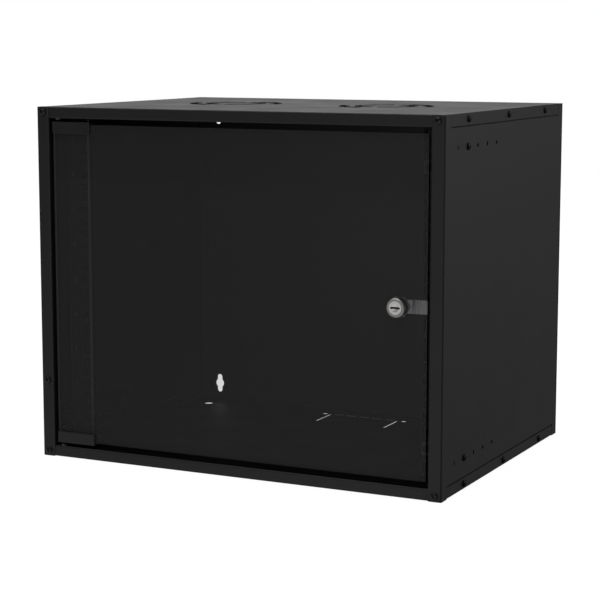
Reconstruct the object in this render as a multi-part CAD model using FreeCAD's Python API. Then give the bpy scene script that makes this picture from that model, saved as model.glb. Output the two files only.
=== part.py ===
"""Wall mount network cabinet, 9U for 19-inch equipment, with a pivoted glass door.

Frame: millimetres, +Z up, the door faces -Y. The origin is the centre of the underside of the
carcass, so the outer faces lie at LEFT, RIGHT, FRONT, REAR, zero and HEIGHT.
"""

import FreeCAD, Part
import math
import os
from FreeCAD import Vector

os.makedirs("parts", exist_ok=True)

# Driving dimensions of the carcass
WIDTH = 540.0
DEPTH = 409.0
HEIGHT = 438.0
SHEET = 1.2
BEND_RADIUS = 0.8
SEAT_GAP = 0.3
SLIP = 0.05

# Flanges
POST_WIDTH = 17.0
POST_LIP = 12.0
REAR_POST_WIDTH = 15.0
ROOF_FLANGE = 14.0
ROOF_REAR_FLANGE = 10.0
PIVOT_LIP = 14.0
CORNER_BLOCK = 16.5
CORNER_RELIEF = 1.0
FLANGE_REAR_GAP = 1.0
JOGGLE_RISE = 1.2

# Fasteners: M4 in the sheet metal, M5 for the rails
SCREW_RADIUS = 2.0
SCREW_HEAD_RADIUS = 4.2
SCREW_HEAD_HEIGHT = 2.8
SCREW_REACH = 6.0
SMALL_NUT_FLATS = 7.0
SMALL_NUT_HEIGHT = 3.2
FRONT_SCREW_INSET_X = 8.6
FRONT_SCREW_INSET_Z = 6.6
FLANGE_SCREW_PITCH = 134.0
BONDING_SCREW_Z = 96.5
STUD_LENGTH = 10.0
STUD_INSET = 6.4
STUD_PITCH_Z = 159.0

# Keyholes for the wall
KEYHOLE_INSET_X = 30.0
KEYHOLE_INSET_Z = 24.5
KEYHOLE_RADIUS = 6.5
KEYHOLE_SLOT_RADIUS = 4.0
KEYHOLE_LENGTH = 26.0

# Rack rails for 19-inch equipment
UNIT = 44.45
RACK_HOLE_CENTRES = 465.1
RACK_CLEAR_WIDTH = 450.0
SQUARE_HOLE = 9.5
FIRST_HOLE = 6.35
HOLE_STEP = 15.875
RAIL_SHEET = 1.5
RAIL_SETBACK = 46.0
RAIL_STANDOFF = 13.0
RAIL_DEPTH = 45.0
RAIL_EDGE = 9.0
RAIL_END_GAP = 2.0

# Rail carriers and their rows of depth-setting holes
ROW_INSET_Z = 38.0
ROW_START_Y = 39.0
ROW_PITCH = 31.0
ROW_COUNT = 5
CLAMP_PLACE = 1
ROW_HOLE_RADIUS = 2.5
CARRIER_START_Y = 26.0
CARRIER_LENGTH = 154.0
CARRIER_WEB = 20.0
CARRIER_FOOT = 10.0
NUT_FLATS = 8.0
NUT_HEIGHT = 4.0
CLAMP_SCREW_REACH = 9.0
RAIL_SCREW_REACH = 8.0

# Glass door
GLASS_SETBACK = 4.0
GLASS_THICKNESS = 4.0
GLASS_GAP_SIDE = 4.0
GLASS_GAP_END = 7.0
GLASS_CORNER = 2.0

# Pivot clips, pins and bushes
CLIP_WIDTH = 54.0
CLIP_HEIGHT = 14.5
CLIP_OVERHANG_SIDE = 0.5
CLIP_OVERHANG_END = 3.0
CLIP_FRONT_WALL = 1.4
CLIP_BACK_WALL = 3.0
CLIP_ROUND = 0.8
LINER_SHEET = 0.6
GRUB_RADIUS = 2.0
GRUB_SOCKET_FLATS = 2.0
GRUB_SOCKET_DEPTH = 1.6
GRUB_PROUD = 0.4
GRUB_SPACING = 24.0
PIVOT_INSET_X = 10.0
PIVOT_INSET_Y = 6.5
PIN_RADIUS = 2.0
PIN_COLLAR_RADIUS = 2.8
PIN_PAST_BUSH = 1.5
BUSH_RADIUS = 2.9
BUSH_FLANGE_RADIUS = 3.6
BUSH_FLANGE_SHEET = 1.2
BUSH_TAIL = 1.2

# Cam lock
LOCK_INSET_X = 57.7
LOCK_HEIGHT = 220.0
LOCK_HEAD_RADIUS = 11.2
LOCK_PROUD = 2.5
LOCK_BODY_RADIUS = 9.3
LOCK_BODY_PAST_NUT = 0.4
LOCK_HOLE_CLEARANCE = 0.3
LOCK_NUT_FLATS = 22.0
LOCK_NUT_HEIGHT = 4.0
LOCK_EDGE = 1.0
GASKET_SHEET = 0.6
GASKET_RADIUS = 10.9
PLUG_RADIUS = 7.75
PLUG_PROUD = 0.3
PLUG_SQUARE = 8.0
DISH_RADIUS = 4.5
DISH_DEPTH = 0.9
KEY_SLOT_LENGTH = 11.4
KEY_SLOT_WIDTH = 2.4
KEY_SLOT_DEPTH = 7.0
CAM_SHEET = 2.0
CAM_HEIGHT = 16.0
CAM_REACH = 32.7
CAM_CRANK_START = 8.3
CAM_CRANK_END = 12.0
CAM_CRANK_STEP = 2.5
CAM_CORNER = 2.0
CAM_SCREW_HEAD = 4.5
CAM_SCREW_REACH = 8.0

# Door bumpers on the lock side
BUMPER_RADIUS = 4.75
BUMPER_STEM_RADIUS = 2.0
BUMPER_BARB_RADIUS = 2.8
BUMPER_BARB_HEIGHT = 1.0
BUMPER_INSET_Z = 58.5
BUMPER_TAB_HEIGHT = 16.0
BUMPER_TAB_MARGIN = 2.5
BUMPER_LIP_GAP = 0.5

# Cable knock-outs, cut as slots that leave bridges
ROOF_SLOT = 10.0
ROOF_RING_SPACING = 212.0
ROOF_RING_INSET_Y = 212.0
ROOF_RING_RADIUS = 34.5
ROOF_TAIL_RADIUS = 54.5
BRIDGE_ANGLE = 12.0
TAIL_ANGLE = 76.0
CABLE_ENTRY_SLOT = 3.5
CABLE_ENTRY_LENGTH = 101.0
CABLE_ENTRY_WIDTH = 48.0
CABLE_ENTRY_INSET_Y = 28.0
CABLE_ENTRY_OFFSET_X = 2.0
CABLE_ENTRY_DASHES = 5
CABLE_ENTRY_BRIDGE = 4.0
COVER_HOLE_SPACING = 119.0
COVER_HOLE_INSET_Y = 26.5
COVER_HOLE_RADIUS = 4.4
DRAIN_INSET_X = 30.3
DRAIN_INSET_Y = 35.0
DRAIN_RADIUS = 6.5

# Places worked out from the sizes above
LEFT = -WIDTH / 2
RIGHT = WIDTH / 2
FRONT = -DEPTH / 2
REAR = DEPTH / 2
REAR_SEAT = REAR - SHEET
RACK_UNITS = int((HEIGHT - 2 * (ROOF_FLANGE + RAIL_END_GAP)) // UNIT)
GLASS_FRONT = FRONT + GLASS_SETBACK
GLASS_BACK = GLASS_FRONT + GLASS_THICKNESS
GLASS_LEFT = LEFT + POST_WIDTH + GLASS_GAP_SIDE
GLASS_RIGHT = RIGHT - POST_WIDTH - GLASS_GAP_SIDE
GLASS_BOTTOM = ROOF_FLANGE + GLASS_GAP_END
GLASS_TOP = HEIGHT - ROOF_FLANGE - GLASS_GAP_END
PIVOT_X = LEFT + POST_WIDTH + PIVOT_INSET_X
PIVOT_Y = FRONT + PIVOT_INSET_Y
LOCK_X = RIGHT - LOCK_INSET_X
UP = Vector(0, 0, 1)
DOWN = Vector(0, 0, -1)
TO_REAR = Vector(0, 1, 0)
TO_FRONT = Vector(0, -1, 0)
TO_RIGHT = Vector(1, 0, 0)
TO_LEFT = Vector(-1, 0, 0)


# ---------------------------------------------------------------- building blocks
def block(x0, x1, y0, y1, z0, z1):
    """Box between two corners."""
    return Part.makeBox(x1 - x0, y1 - y0, z1 - z0, Vector(x0, y0, z0))


def rod(start, axis, radius, length):
    """Round bar from a start point along an axis."""
    return Part.makeCylinder(radius, length, start, axis)


def tube(start, axis, outer, inner, length):
    """Round bar with a bore along its whole length."""
    return rod(start, axis, outer, length).cut(rod(start, axis, inner, length))


def hex_bar(start, axis, across_flats, length):
    """Hexagonal bar with one flat facing a side that is square to the axis."""
    side = axis.cross(UP) if abs(axis.z) < 0.5 else TO_RIGHT
    other = axis.cross(side)
    corner = across_flats / math.sqrt(3)
    ring = []
    for step in range(7):
        angle = math.radians(60 * step)
        ring.append(start + side * (corner * math.cos(angle)) + other * (corner * math.sin(angle)))
    return Part.Face(Part.makePolygon(ring)).extrude(axis * length)


def polygon_bar(points, travel):
    """Bar with a straight-sided outline, extruded by a vector."""
    return Part.Face(Part.makePolygon(points + [points[0]])).extrude(travel)


def mirrored(shape):
    """Copy on the other side of the cabinet's middle plane."""
    return shape.mirror(Vector(0, 0, 0), TO_RIGHT)


def cut_all(shape, tools):
    """Shape with every tool cut out of it."""
    return shape.cut(Part.makeCompound(tools)) if tools else shape


def fuse_all(shapes):
    """One solid from touching shapes, with no seams left on flat faces."""
    return shapes[0].fuse(shapes[1:]).removeSplitter()


def folded_strip(points, thickness, side, place, inner_radius=BEND_RADIUS):
    """Outline of folded sheet whose one face follows a line of 2-D points.

    side is +1 when the sheet lies to the left of the line and -1 when it lies to the right.
    place turns a 2-D point into a point in space.
    """
    line = [Vector(a, b, 0) for a, b in points]
    runs = [(line[i + 1] - line[i]).normalize() for i in range(len(line) - 1)]
    lefts = [Vector(-run.y, run.x, 0) for run in runs]
    faces = []
    for offset in (0.0, thickness * side):
        trail = [("line", line[0] + lefts[0] * offset)]
        for i in range(1, len(line) - 1):
            turn = runs[i - 1].x * runs[i].y - runs[i - 1].y * runs[i].x
            bend = 1 if turn > 0 else -1
            base = inner_radius + (thickness if bend == side else 0.0)
            angle = math.acos(max(-1.0, min(1.0, runs[i - 1].dot(runs[i]))))
            setback = base * math.tan(angle / 2)
            centre = line[i] - runs[i - 1] * setback + lefts[i - 1] * (base * bend)
            first = line[i] - runs[i - 1] * setback + lefts[i - 1] * offset
            last = line[i] + runs[i] * setback + lefts[i] * offset
            middle = centre + (line[i] - centre).normalize() * first.distanceToPoint(centre)
            trail.append(("arc", first, middle, last))
        trail.append(("line", line[-1] + lefts[-1] * offset))
        faces.append(trail)
    edges = []
    for trail in faces:
        here = place(trail[0][1])
        for piece in trail[1:-1]:
            first, middle, last = [place(point) for point in piece[1:]]
            edges.append(Part.LineSegment(here, first).toShape())
            edges.append(Part.Arc(first, middle, last).toShape())
            here = last
        edges.append(Part.LineSegment(here, place(trail[-1][1])).toShape())
    for end in (0, -1):
        edges.append(Part.LineSegment(place(faces[0][end][1]), place(faces[1][end][1])).toShape())
    return Part.Face(Part.Wire(Part.__sortEdges__(edges)))


def pan_screw(seat, axis, reach, radius=SCREW_RADIUS, head_radius=SCREW_HEAD_RADIUS):
    """Screw turned from its profile; axis points from the head into the metal."""
    out = axis.cross(UP) if abs(axis.z) < 0.5 else TO_RIGHT
    steps = [(-SCREW_HEAD_HEIGHT, 0), (-SCREW_HEAD_HEIGHT, head_radius), (0, head_radius),
             (0, radius), (reach, radius), (reach, 0)]
    outline = [seat + axis * along + out * across for along, across in steps]
    return Part.Face(Part.makePolygon(outline + [outline[0]])).revolve(seat, axis, 360)


def hex_nut(seat, axis, across_flats, height, bore):
    """Hexagonal nut that stands on its seat along the axis."""
    return hex_bar(seat, axis, across_flats, height).cut(rod(seat, axis, bore, height))


def save(name, *shapes):
    """Write one node as a STEP file, after its solids are checked."""
    solids = [solid for shape in shapes for solid in shape.Solids]
    for solid in solids:
        assert solid.isValid(), name
    result = solids[0] if len(solids) == 1 else Part.makeCompound(solids)
    result.exportStep("parts/" + name + ".step")
    print(name, len(solids), "solids", round(sum(solid.Volume for solid in solids)), "mm3")


# ---------------------------------------------------------------- places of the fasteners
def front_screw_places():
    """Four corner screws on the front face of the posts."""
    return [Vector(x, FRONT, z)
            for x in (LEFT + FRONT_SCREW_INSET_X, RIGHT - FRONT_SCREW_INSET_X)
            for z in (FRONT_SCREW_INSET_Z, HEIGHT - FRONT_SCREW_INSET_Z)]


def bonding_screw_place():
    """The single screw lower on the left post."""
    return Vector(LEFT + FRONT_SCREW_INSET_X, FRONT, BONDING_SCREW_Z)


def flange_screw_places(z):
    """Three screws a side through the roof's or floor's side flanges, with their directions."""
    return [(Vector(x, step * FLANGE_SCREW_PITCH, z), axis)
            for x, axis in ((LEFT, TO_RIGHT), (RIGHT, TO_LEFT))
            for step in (-1, 0, 1)]


def stud_places():
    """Rear panel studs, three up each side."""
    return [Vector(x, REAR, HEIGHT / 2 + step * STUD_PITCH_Z)
            for x in (LEFT + STUD_INSET, RIGHT - STUD_INSET)
            for step in (-1, 0, 1)]


def row_heights():
    """Heights of the lower and the upper row of depth-setting holes."""
    return {"lower": ROW_INSET_Z, "upper": HEIGHT - ROW_INSET_Z}


def row_place(index):
    """Depth of one hole in a row."""
    return FRONT + ROW_START_Y + index * ROW_PITCH


def rail_screw_places(z):
    """Depth and height of the two screws that join a rail to one carrier."""
    y = row_place(CLAMP_PLACE)
    offset = CARRIER_WEB / 2 + CARRIER_FOOT / 2
    return [(y, z - offset), (y, z + offset)]


def bumper_heights():
    """Heights of the lower and the upper door bumper."""
    return {"lower": BUMPER_INSET_Z, "upper": HEIGHT - BUMPER_INSET_Z}


def bumper_x():
    """Bumper centre line, beside the lock-side post's lip."""
    return RIGHT - POST_WIDTH - BUMPER_LIP_GAP - BUMPER_RADIUS


# ---------------------------------------------------------------- carcass
def side_panel_blank():
    """Left side panel: front post with its lip, wall, rear post and joggled screw lips."""
    path = [(LEFT + POST_WIDTH, FRONT + POST_LIP), (LEFT + POST_WIDTH, FRONT), (LEFT, FRONT),
            (LEFT, REAR_SEAT), (LEFT + REAR_POST_WIDTH, REAR_SEAT)]
    panel = folded_strip(path, SHEET, -1, lambda p: Vector(p.x, p.y, 0)).extrude(UP * HEIGHT)
    lip_end = ROOF_FLANGE + SEAT_GAP
    window_y = (FRONT + CORNER_BLOCK, REAR - CORNER_BLOCK)
    tools = []
    for z0, z1 in ((0, lip_end), (HEIGHT - lip_end, HEIGHT)):
        tools.append(block(LEFT + SHEET + CORNER_RELIEF, LEFT + POST_WIDTH + 1,
                           FRONT + SHEET, FRONT + POST_LIP + 1, z0, z1))
    wall_end = ROOF_FLANGE + SEAT_GAP + JOGGLE_RISE
    for z0, z1 in ((0, wall_end), (HEIGHT - wall_end, HEIGHT)):
        tools.append(block(LEFT - 1, LEFT + SHEET, window_y[0], window_y[1], z0, z1))
    panel = cut_all(panel, tools)
    lips = [joggled_lip(window_y, True), joggled_lip(window_y, False)]
    return fuse_all([panel] + lips)


def joggled_lip(window_y, upper):
    """Edge of the side wall, set inwards so that the roof's or floor's flange covers it."""
    wall_end = ROOF_FLANGE + SEAT_GAP + JOGGLE_RISE
    inner = LEFT + SHEET + SLIP
    levels = [wall_end, ROOF_FLANGE + SEAT_GAP, SHEET + BEND_RADIUS + SEAT_GAP]
    if upper:
        levels = [HEIGHT - level for level in levels]
    start, step, end = levels
    y = window_y[0] + SEAT_GAP
    outline = [(LEFT, start), (inner, step), (inner, end), (inner + SHEET, end),
               (inner + SHEET, step), (LEFT + SHEET, start)]
    corners = [Vector(x, y, z) for x, z in outline]
    return polygon_bar(corners, TO_REAR * (window_y[1] - window_y[0] - 2 * SEAT_GAP))


def side_panel_holes():
    """Holes that both side panels have, on the left one."""
    holes = []
    for place in front_screw_places():
        holes.append(rod(place, TO_REAR, SCREW_RADIUS + SLIP, SHEET))
    for z in (FRONT_SCREW_INSET_Z, HEIGHT - FRONT_SCREW_INSET_Z):
        for place, axis in flange_screw_places(z):
            holes.append(rod(place, axis, SCREW_RADIUS + SLIP, SCREW_REACH))
    for place in stud_places():
        holes.append(rod(place, TO_FRONT, SCREW_RADIUS + SLIP, STUD_LENGTH))
    for z in row_heights().values():
        for index in range(ROW_COUNT):
            holes.append(rod(Vector(LEFT, row_place(index), z), TO_RIGHT, ROW_HOLE_RADIUS, SHEET))
    return holes


def left_side_panel():
    """Left side panel with the extra hole for the bonding screw."""
    extra = rod(bonding_screw_place(), TO_REAR, SCREW_RADIUS + SLIP, SHEET)
    return cut_all(side_panel_blank(), side_panel_holes() + [extra])


def right_side_panel():
    """Right side panel with the two tabs that hold the door bumpers."""
    panel = mirrored(cut_all(side_panel_blank(), side_panel_holes()))
    tabs = []
    holes = []
    back = FRONT + POST_LIP
    for z in bumper_heights().values():
        tabs.append(block(bumper_x() - BUMPER_RADIUS - BUMPER_TAB_MARGIN, RIGHT - POST_WIDTH + SHEET,
                          back - SHEET, back, z - BUMPER_TAB_HEIGHT / 2, z + BUMPER_TAB_HEIGHT / 2))
        holes.append(rod(Vector(bumper_x(), back, z), TO_FRONT, BUMPER_STEM_RADIUS + SLIP, SHEET))
    return cut_all(fuse_all([panel] + tabs), holes)


def roof_blank():
    """Roof sheet with side flanges, front flange with the pivot lip, and rear flange."""
    flange_z = HEIGHT - ROOF_FLANGE
    across = folded_strip([(LEFT, flange_z), (LEFT, HEIGHT), (RIGHT, HEIGHT), (RIGHT, flange_z)],
                          SHEET, -1, lambda p: Vector(p.x, FRONT + CORNER_BLOCK + SEAT_GAP, p.y))
    across = across.extrude(TO_REAR * (DEPTH - 2 * CORNER_BLOCK - SEAT_GAP - FLANGE_REAR_GAP))
    start_x = LEFT + SHEET + CORNER_RELIEF
    front = FRONT + SHEET
    along = folded_strip([(front + PIVOT_LIP, flange_z), (front, flange_z), (front, HEIGHT),
                          (REAR_SEAT, HEIGHT), (REAR_SEAT, HEIGHT - ROOF_REAR_FLANGE)],
                         SHEET, -1, lambda p: Vector(start_x, p.x, p.y))
    along = along.extrude(TO_RIGHT * (-2 * start_x))
    notch_x = LEFT + REAR_POST_WIDTH + CORNER_RELIEF
    notch_y = REAR_SEAT - SHEET - BEND_RADIUS - CORNER_RELIEF
    notch = block(LEFT - 1, notch_x, notch_y, REAR, 0, HEIGHT + 1)
    blank = fuse_all([across, along])
    return cut_all(blank, [notch, mirrored(notch)])


def roof_fixing_holes():
    """Screw and bush holes, at the roof's level."""
    z = HEIGHT - FRONT_SCREW_INSET_Z
    holes = [rod(place, TO_REAR, SCREW_RADIUS + SLIP, SHEET * 3)
             for place in front_screw_places() if place.z > HEIGHT / 2]
    holes += [rod(place, axis, SCREW_RADIUS + SLIP, SHEET * 2)
              for place, axis in flange_screw_places(z)]
    holes.append(rod(Vector(PIVOT_X, PIVOT_Y, HEIGHT - ROOF_FLANGE - 1), UP,
                     BUSH_RADIUS + SLIP, SHEET + 2))
    return holes


def arc_slot(x, y, z, radius, width, start, sweep):
    """Curved slot through the sheet whose underside is at z, angles in degrees."""
    ring = tube(Vector(x, y, z - 1), UP, radius + width / 2, radius - width / 2, SHEET + 2)
    reach = 2 * (radius + width)
    middle = start + sweep / 2
    wedge = [Vector(x, y, z - 1)]
    for angle in (start, middle, start + sweep):
        turn = math.radians(angle)
        wedge.append(Vector(x + reach * math.cos(turn), y + reach * math.sin(turn), z - 1))
    return ring.common(polygon_bar(wedge, UP * (SHEET + 2)))


def ring_knockout(x, y):
    """Slots of one round roof knock-out: a bridged ring and two outer tails."""
    z = HEIGHT - SHEET
    slots = []
    for quarter in range(4):
        start = 90 * quarter + BRIDGE_ANGLE / 2
        slots.append(arc_slot(x, y, z, ROOF_RING_RADIUS, ROOF_SLOT, start, 90 - BRIDGE_ANGLE))
    for start in (0, 180):
        slots.append(arc_slot(x, y, z, ROOF_TAIL_RADIUS, ROOF_SLOT, start, TAIL_ANGLE))
    return slots


def roof_panel():
    """Roof with two round cable knock-outs."""
    tools = roof_fixing_holes()
    for side in (-1, 1):
        tools += ring_knockout(side * ROOF_RING_SPACING / 2, FRONT + ROOF_RING_INSET_Y)
    return cut_all(roof_blank(), tools)


def cable_entry_slots():
    """Slots round the rectangular knock-out in the floor: whole short sides, dashed long sides."""
    x0 = CABLE_ENTRY_OFFSET_X - CABLE_ENTRY_LENGTH / 2
    x1 = CABLE_ENTRY_OFFSET_X + CABLE_ENTRY_LENGTH / 2
    y1 = REAR - CABLE_ENTRY_INSET_Y
    y0 = y1 - CABLE_ENTRY_WIDTH
    half = CABLE_ENTRY_SLOT / 2
    slots = [block(x - half, x + half, y0, y1, -1, SHEET + 1) for x in (x0, x1)]
    pitch = (CABLE_ENTRY_LENGTH - CABLE_ENTRY_BRIDGE) / CABLE_ENTRY_DASHES
    for y in (y0, y1):
        for index in range(CABLE_ENTRY_DASHES):
            start = x0 + CABLE_ENTRY_BRIDGE + index * pitch
            slots.append(block(start, start + pitch - CABLE_ENTRY_BRIDGE, y - half, y + half,
                               -1, SHEET + 1))
    return slots


def floor_panel():
    """Floor from the same blank as the roof, turned over, with its cable entry and holes."""
    turned = cut_all(roof_blank(), roof_fixing_holes())
    panel = turned.mirror(Vector(0, 0, HEIGHT / 2), UP)
    tools = cable_entry_slots()
    for side in (-1, 1):
        tools.append(rod(Vector(CABLE_ENTRY_OFFSET_X + side * COVER_HOLE_SPACING / 2,
                                REAR - COVER_HOLE_INSET_Y, -1), UP, COVER_HOLE_RADIUS, SHEET + 2))
        tools.append(rod(Vector(side * (RIGHT - DRAIN_INSET_X), REAR - DRAIN_INSET_Y, -1), UP,
                         DRAIN_RADIUS, SHEET + 2))
    return cut_all(panel, tools)


def keyhole(x, z):
    """Keyhole cutter with a slot above and below its round entry."""
    start = REAR_SEAT - 1
    length = SHEET + 2
    reach = KEYHOLE_LENGTH / 2 - KEYHOLE_SLOT_RADIUS
    cutter = rod(Vector(x, start, z), TO_REAR, KEYHOLE_RADIUS, length)
    slot = block(x - KEYHOLE_SLOT_RADIUS, x + KEYHOLE_SLOT_RADIUS, start, start + length,
                 z - reach, z + reach)
    ends = [rod(Vector(x, start, z + side * reach), TO_REAR, KEYHOLE_SLOT_RADIUS, length)
            for side in (-1, 1)]
    return fuse_all([cutter, slot] + ends)


def rear_panel():
    """Flat rear panel with four keyholes and the stud holes."""
    tools = [rod(place, TO_FRONT, SCREW_RADIUS + SLIP, SHEET) for place in stud_places()]
    for x in (LEFT + KEYHOLE_INSET_X, RIGHT - KEYHOLE_INSET_X):
        for z in (KEYHOLE_INSET_Z, HEIGHT - KEYHOLE_INSET_Z):
            tools.append(keyhole(x, z))
    return cut_all(block(LEFT, RIGHT, REAR_SEAT, REAR, 0, HEIGHT), tools)


def rear_studs():
    """Clinch studs, flush with the outer face of the rear panel."""
    return [rod(place, TO_FRONT, SCREW_RADIUS, STUD_LENGTH) for place in stud_places()]


def rear_nuts():
    """Nuts that pull the rear panel against the flanges."""
    return [hex_nut(place + TO_FRONT * (2 * SHEET), TO_FRONT, SMALL_NUT_FLATS, SMALL_NUT_HEIGHT,
                    SCREW_RADIUS + SLIP) for place in stud_places()]


# ---------------------------------------------------------------- rack rails
def left_rack_rail():
    """Channel rail whose front flange has three square holes in each rack unit."""
    outer = LEFT + RAIL_STANDOFF
    inner = -RACK_CLEAR_WIDTH / 2
    front = FRONT + RAIL_SETBACK
    path = [(inner, front + RAIL_EDGE), (inner, front), (outer, front), (outer, front + RAIL_DEPTH)]
    bottom = ROOF_FLANGE + RAIL_END_GAP
    rail = folded_strip(path, RAIL_SHEET, -1, lambda p: Vector(p.x, p.y, bottom))
    rail = rail.extrude(UP * (HEIGHT - 2 * bottom))
    half = SQUARE_HOLE / 2
    x = -RACK_HOLE_CENTRES / 2
    first_unit = (HEIGHT - RACK_UNITS * UNIT) / 2
    tools = []
    for unit in range(RACK_UNITS):
        for hole in range(3):
            z = first_unit + unit * UNIT + FIRST_HOLE + hole * HOLE_STEP
            tools.append(block(x - half, x + half, front - 1, front + RAIL_SHEET + 1,
                               z - half, z + half))
    for z in row_heights().values():
        for y, screw_z in rail_screw_places(z):
            tools.append(rod(Vector(outer, y, screw_z), TO_RIGHT, ROW_HOLE_RADIUS + SLIP, RAIL_SHEET))
    return cut_all(rail, tools)


def left_rail_carrier(z):
    """Channel on the side wall with a locating peg; its two feet carry the rail."""
    wall = LEFT + SHEET
    foot = LEFT + RAIL_STANDOFF
    web = CARRIER_WEB / 2 - RAIL_SHEET
    reach = CARRIER_WEB / 2 + CARRIER_FOOT
    start_y = FRONT + CARRIER_START_Y
    path = [(foot, z - reach), (foot, z - web), (wall + RAIL_SHEET, z - web),
            (wall + RAIL_SHEET, z + web), (foot, z + web), (foot, z + reach)]
    body = folded_strip(path, RAIL_SHEET, 1, lambda p: Vector(p.x, start_y, p.y))
    body = body.extrude(TO_REAR * CARRIER_LENGTH)
    peg = rod(Vector(LEFT + SEAT_GAP, row_place(0), z), TO_RIGHT, ROW_HOLE_RADIUS - SLIP,
              SHEET + RAIL_SHEET - SEAT_GAP)
    tools = [rod(Vector(LEFT, row_place(CLAMP_PLACE), z), TO_RIGHT, ROW_HOLE_RADIUS + SLIP,
                 SHEET + RAIL_SHEET + 1)]
    for y, screw_z in rail_screw_places(z):
        tools.append(rod(Vector(foot, y, screw_z), TO_LEFT, ROW_HOLE_RADIUS + SLIP, RAIL_SHEET + 1))
    return cut_all(fuse_all([body, peg]), tools)


def left_clamp_screws():
    """Screws through the side wall into the carriers."""
    return [pan_screw(Vector(LEFT, row_place(CLAMP_PLACE), z), TO_RIGHT, CLAMP_SCREW_REACH,
                      ROW_HOLE_RADIUS - SLIP) for z in row_heights().values()]


def left_clamp_nuts():
    """Nuts inside the carriers' channels."""
    return [hex_nut(Vector(LEFT + SHEET + RAIL_SHEET, row_place(CLAMP_PLACE), z), TO_RIGHT,
                    NUT_FLATS, NUT_HEIGHT, ROW_HOLE_RADIUS) for z in row_heights().values()]


def left_rail_screws():
    """Screws from inside the rail into its carriers' feet."""
    seat = LEFT + RAIL_STANDOFF + RAIL_SHEET
    return [pan_screw(Vector(seat, y, screw_z), TO_LEFT, RAIL_SCREW_REACH, ROW_HOLE_RADIUS - SLIP)
            for z in row_heights().values() for y, screw_z in rail_screw_places(z)]


def left_rail_nuts():
    """Nuts behind the carriers' feet."""
    seat = LEFT + RAIL_STANDOFF - RAIL_SHEET
    return [hex_nut(Vector(seat, y, screw_z), TO_LEFT, NUT_FLATS, NUT_HEIGHT, ROW_HOLE_RADIUS)
            for z in row_heights().values() for y, screw_z in rail_screw_places(z)]


def both_sides(shapes):
    """Shapes on the left together with their mirror images on the right."""
    return shapes + [mirrored(shape) for shape in shapes]


# ---------------------------------------------------------------- door
def glass_pane():
    """Tempered pane with rounded corners and the hole for the lock."""
    pane = block(GLASS_LEFT, GLASS_RIGHT, GLASS_FRONT, GLASS_BACK, GLASS_BOTTOM, GLASS_TOP)
    corners = [edge for edge in pane.Edges if abs(edge.tangentAt(edge.FirstParameter).y) > 0.9]
    pane = pane.makeFillet(GLASS_CORNER, corners)
    return pane.cut(rod(Vector(LOCK_X, GLASS_FRONT, LOCK_HEIGHT), TO_REAR,
                        LOCK_BODY_RADIUS + LOCK_HOLE_CLEARANCE, GLASS_THICKNESS))


def clip_frame(upper):
    """Edges of a clip: left, right, outer end and inner end of its height."""
    x0 = GLASS_LEFT - CLIP_OVERHANG_SIDE
    end = GLASS_TOP + CLIP_OVERHANG_END if upper else GLASS_BOTTOM - CLIP_OVERHANG_END
    inward = -CLIP_HEIGHT if upper else CLIP_HEIGHT
    return x0, x0 + CLIP_WIDTH, end, end + inward


def grub_places():
    """Two places along a clip for its grub screws."""
    x0, x1, _, _ = clip_frame(True)
    middle = (x0 + x1) / 2
    return [middle - GRUB_SPACING / 2, middle + GRUB_SPACING / 2]


def grub_height(upper):
    """Height of the grub screws, at the middle of the glass that the clip holds."""
    _, _, _, inner = clip_frame(upper)
    edge = GLASS_TOP if upper else GLASS_BOTTOM
    return (inner + edge) / 2


def hinge_clip(upper):
    """U-shaped clamp over the edge of the glass, with threaded holes in its back wall."""
    x0, x1, outer, inner = clip_frame(upper)
    web = outer - CLIP_FRONT_WALL if upper else outer + CLIP_FRONT_WALL
    y0 = GLASS_FRONT - LINER_SHEET - CLIP_FRONT_WALL
    y1 = GLASS_BACK + LINER_SHEET + CLIP_BACK_WALL
    body = block(x0, x1, y0, y1, min(outer, inner), max(outer, inner))
    long_edges = [edge for edge in body.Edges if edge.CenterOfMass.y < y0 + 1e-6]
    body = body.makeFillet(CLIP_ROUND, long_edges)
    slot = block(x0 - 1, x1 + 1, GLASS_FRONT - LINER_SHEET, GLASS_BACK + LINER_SHEET,
                 min(web, inner + (inner - outer)), max(web, inner + (inner - outer)))
    tools = [slot, rod(Vector(PIVOT_X, PIVOT_Y, outer - 2 * CLIP_FRONT_WALL), UP,
                       PIN_RADIUS + SLIP, 4 * CLIP_FRONT_WALL)]
    for x in grub_places():
        tools.append(rod(Vector(x, y1, grub_height(upper)), TO_FRONT, GRUB_RADIUS + SLIP,
                         CLIP_BACK_WALL))
    return cut_all(body, tools)


def clip_liner(upper):
    """Rubber channel between a clip and the glass, cleared round the pin's rivet head."""
    x0, x1, outer, inner = clip_frame(upper)
    web = outer - CLIP_FRONT_WALL if upper else outer + CLIP_FRONT_WALL
    edge = GLASS_TOP if upper else GLASS_BOTTOM
    y0 = GLASS_FRONT - LINER_SHEET
    y1 = GLASS_BACK + LINER_SHEET
    body = block(x0, x1, y0, y1, min(web, inner), max(web, inner))
    beyond = inner + (inner - edge)
    gap = block(x0 - 1, x1 + 1, GLASS_FRONT, GLASS_BACK, min(edge, beyond), max(edge, beyond))
    low, high = sorted((edge, outer))
    clearance = rod(Vector(PIVOT_X, PIVOT_Y, low), UP, PIN_RADIUS + SLIP, high - low)
    return cut_all(body, [gap, clearance])


def clip_grub_screws(upper):
    """Socket grub screws in the back wall of a clip, pressing on the liner."""
    start = GLASS_BACK + LINER_SHEET
    length = CLIP_BACK_WALL + GRUB_PROUD
    screws = []
    for x in grub_places():
        seat = Vector(x, start, grub_height(upper))
        socket = hex_bar(seat + TO_REAR * (length - GRUB_SOCKET_DEPTH), TO_REAR,
                         GRUB_SOCKET_FLATS, GRUB_SOCKET_DEPTH)
        screws.append(rod(seat, TO_REAR, GRUB_RADIUS, length).cut(socket))
    return screws


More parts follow.
